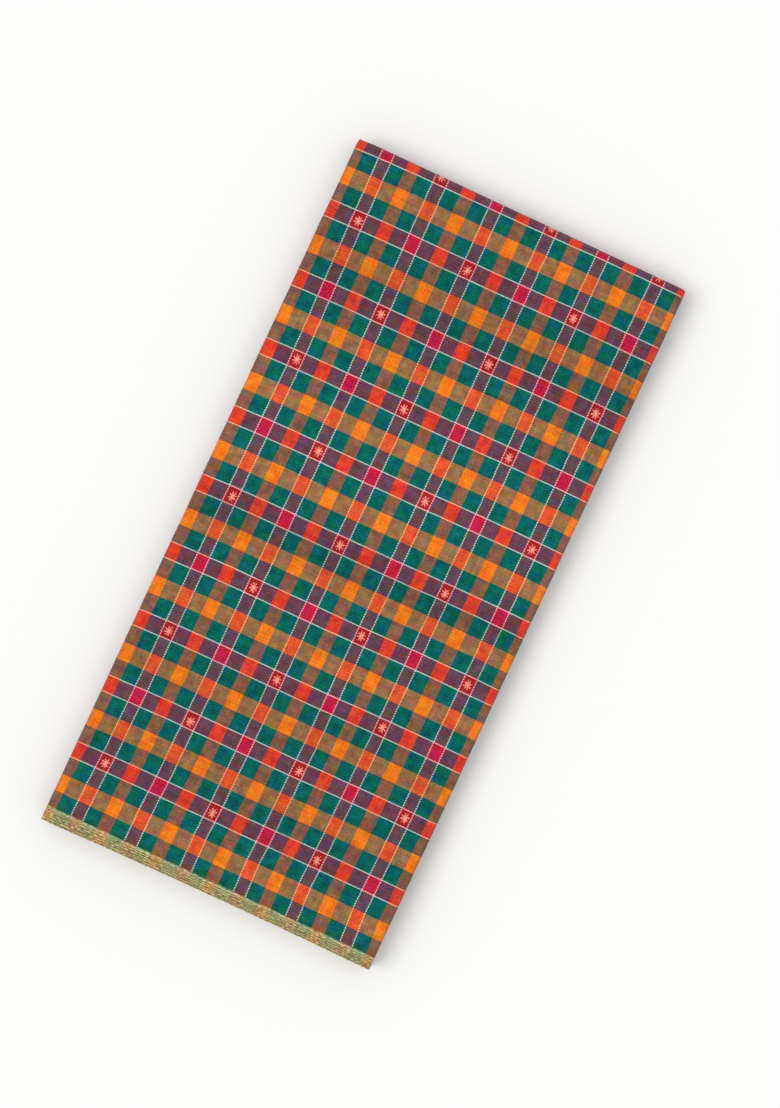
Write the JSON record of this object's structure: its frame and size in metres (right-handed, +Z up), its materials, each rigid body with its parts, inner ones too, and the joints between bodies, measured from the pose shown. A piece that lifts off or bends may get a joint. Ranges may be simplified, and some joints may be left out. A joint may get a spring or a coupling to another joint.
{
  "type": "saree, folded flat",
  "caption": "Checked handloom saree in crimson, green and orange with a narrow gold border, doubled and folded flat into a neat rectangle.",
  "frame": {"origin": "centre of the saree's outline, on the surface it lies on", "axes": "+X across the folded panel, along the cloth's length; +Y along the panel from the selvedges to the centre fold; +Z up"},
  "size_m": [0.277, 0.575, 0.0185],
  "materials": {
    "checked_cloth": "woven, soft sheen",
    "zari_border": "woven with metal thread"
  },
  "bodies": {
    "root": {"top_stretch": "checked_cloth", "top_border": "zari_border", "hidden_folds": "checked_cloth", "under_stretch": "checked_cloth", "under_border": "zari_border"}
  },
  "joints": []
}
